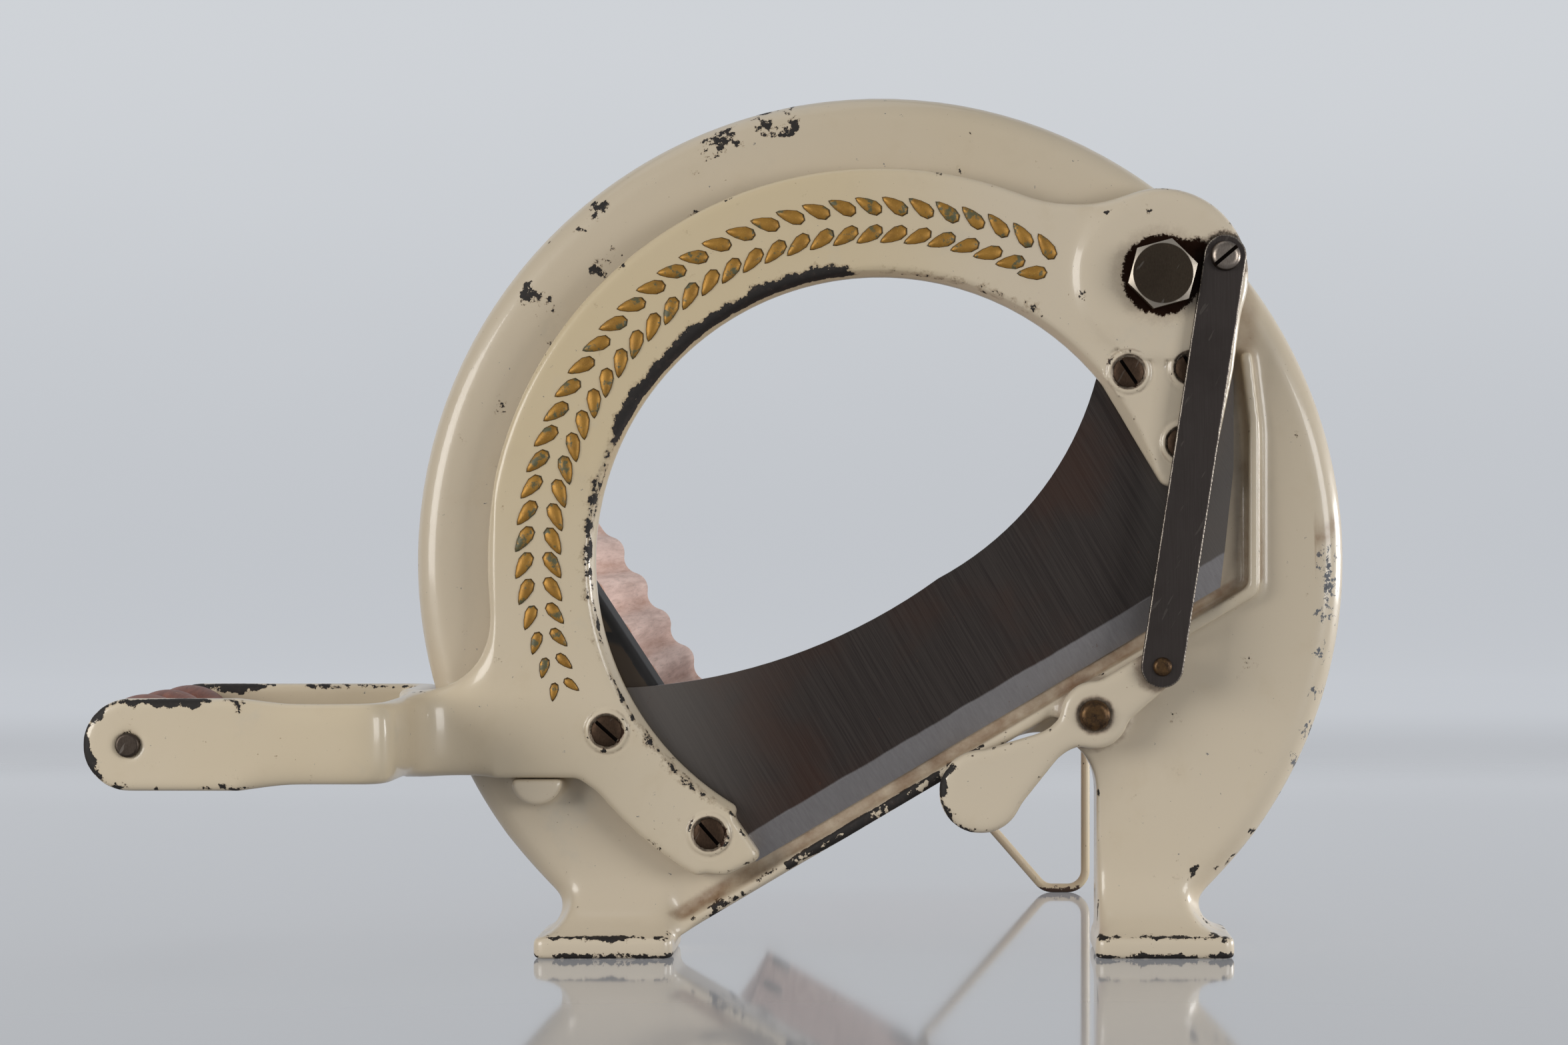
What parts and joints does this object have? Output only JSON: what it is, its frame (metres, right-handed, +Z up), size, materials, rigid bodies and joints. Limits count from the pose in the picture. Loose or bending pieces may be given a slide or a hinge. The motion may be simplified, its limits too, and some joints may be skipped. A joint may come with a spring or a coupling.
{
  "type": "guillotine bread slicer",
  "caption": "Cast ring-shaped bread slicer: a lever arm with a slanting blade swings down past a hooded frame, in front of a ribbed wooden trough with a wire foot.",
  "frame": {"origin": "on the floor, under the middle of the whole slicer's width and depth with the arm down", "axes": "+Z up; -Y towards the side with the arm and blade; +X from the grip towards the pivot"},
  "size_m": [0.3756, 0.2616, 0.2654],
  "materials": {
    "cream_enamel": "glossy enamel, chipped",
    "cream_wire": "glossy enamel",
    "blade_steel": "dark ground steel",
    "dark_steel": "blackened steel",
    "bright_steel": "worn steel",
    "zinc_steel": "dull zinc",
    "bronze": "browned",
    "lacquered_wood": "red-brown lacquer",
    "pale_wood": "scrubbed, bare"
  },
  "bodies": {
    "frame": {"frame_casting": "cream_enamel", "pivot_bolt": "dark_steel", "thrust_washer": "zinc_steel", "pivot_washer": "zinc_steel", "pivot_nut": "dark_steel", "paddle_pin": "bronze", "paddle_pin_washer": "bronze", "side_board": "pale_wood", "base_board": "pale_wood", "frame_screws": "zinc_steel", "corner_screws": "zinc_steel", "wire_foot": "cream_wire", "foot_saddles": "zinc_steel", "saddle_screws": "zinc_steel"},
    "arm": {"cutting_arm": "cream_enamel", "blade": "blade_steel", "blade_screws": "dark_steel", "link_screw": "bright_steel", "grip_rod": "bright_steel"},
    "link": {"link_bar": "dark_steel", "link_rivet": "bronze", "link_rivet_washer": "bronze"},
    "paddle": {"paddle_lever": "cream_enamel"},
    "grip_body": {"grip": "lacquered_wood"}
  },
  "joints": [
    {"name": "arm_lift", "type": "hinge", "parent": "frame", "child": "arm", "pos_m": [0.1301, -0.07005, 0.209], "axis": [0, 1, 0], "range_deg": [0, 55]},
    {"name": "link_swing", "type": "hinge", "parent": "arm", "child": "link", "pos_m": [0.14933, -0.07845, 0.21451], "axis": [0, 1, 0], "range_deg": [-60, 0]},
    {"name": "paddle_swing", "type": "hinge", "parent": "frame", "child": "paddle", "pos_m": [0.1097, -0.07405, 0.0743], "axis": [0, 1, 0], "range_deg": [0, 48]},
    {"name": "grip_spin", "type": "hinge", "parent": "arm", "child": "grip_body", "pos_m": [-0.174, -0.07455, 0.0683], "axis": [0, 1, 0], "continuous": true}
  ],
  "couplings": [
    {"joint": "link_swing", "follows": "arm_lift", "ratio": -1.0657},
    {"joint": "paddle_swing", "follows": "arm_lift", "ratio": 0.8508}
  ]
}
